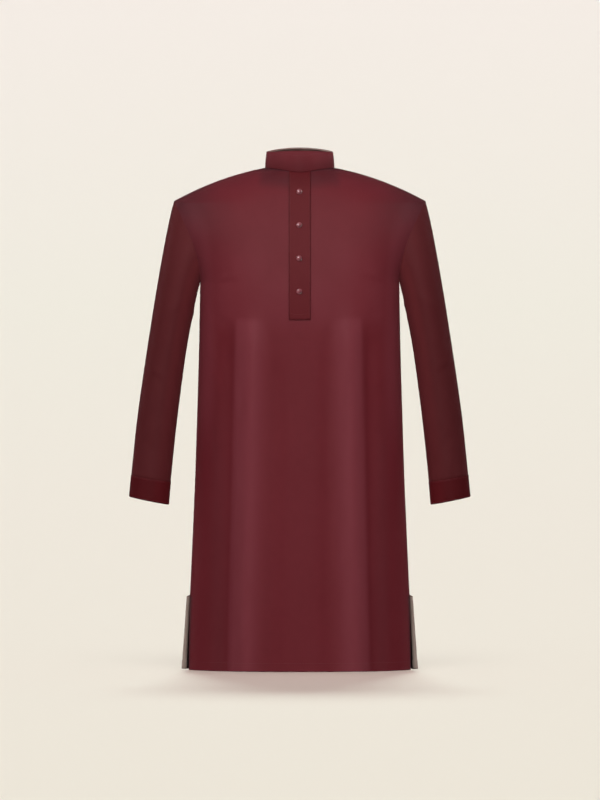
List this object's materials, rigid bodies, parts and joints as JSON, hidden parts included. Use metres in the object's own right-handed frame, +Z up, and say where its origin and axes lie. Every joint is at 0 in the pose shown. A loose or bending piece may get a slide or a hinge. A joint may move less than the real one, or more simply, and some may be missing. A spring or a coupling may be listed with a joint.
{
  "type": "kurta tunic",
  "caption": "Long-sleeved kurta tunic in plain cloth, filled out as worn, with a band collar, a buttoned half placket, plain cuffs and open side vents.",
  "frame": {"origin": "the middle of the neck at the height where the shoulder seams meet the collar, where the wearer's shoulders hold the tunic", "axes": "+Z up from the hem to the collar, the front and its placket face -Y, the wearer's left sleeve is at +X"},
  "size_m": [0.6904, 0.3071, 1.0529],
  "materials": {
    "cloth": "maroon cotton and silk blend, plain weave with a soft low sheen",
    "trim_cloth": "the same cloth, interfaced, a little deeper in colour",
    "facing_cloth": "taupe cotton facing, matte",
    "button": "mauve resin, domed, soft gloss"
  },
  "bodies": {
    "root": {"front_chest_left": "cloth", "front_chest_right": "cloth", "front_waist": "cloth", "front_skirt": "cloth", "back_shoulders": "cloth", "back_waist": "cloth", "back_skirt": "cloth", "sleeve_left": "cloth", "sleeve_right": "cloth", "cuff_left": "trim_cloth", "cuff_right": "trim_cloth", "collar_band": "trim_cloth", "placket": "trim_cloth", "collar_facing": "facing_cloth", "vent_facing_left": "facing_cloth", "vent_facing_right": "facing_cloth", "button_1": "button", "button_2": "button", "button_3": "button", "button_4": "button"}
  },
  "joints": []
}
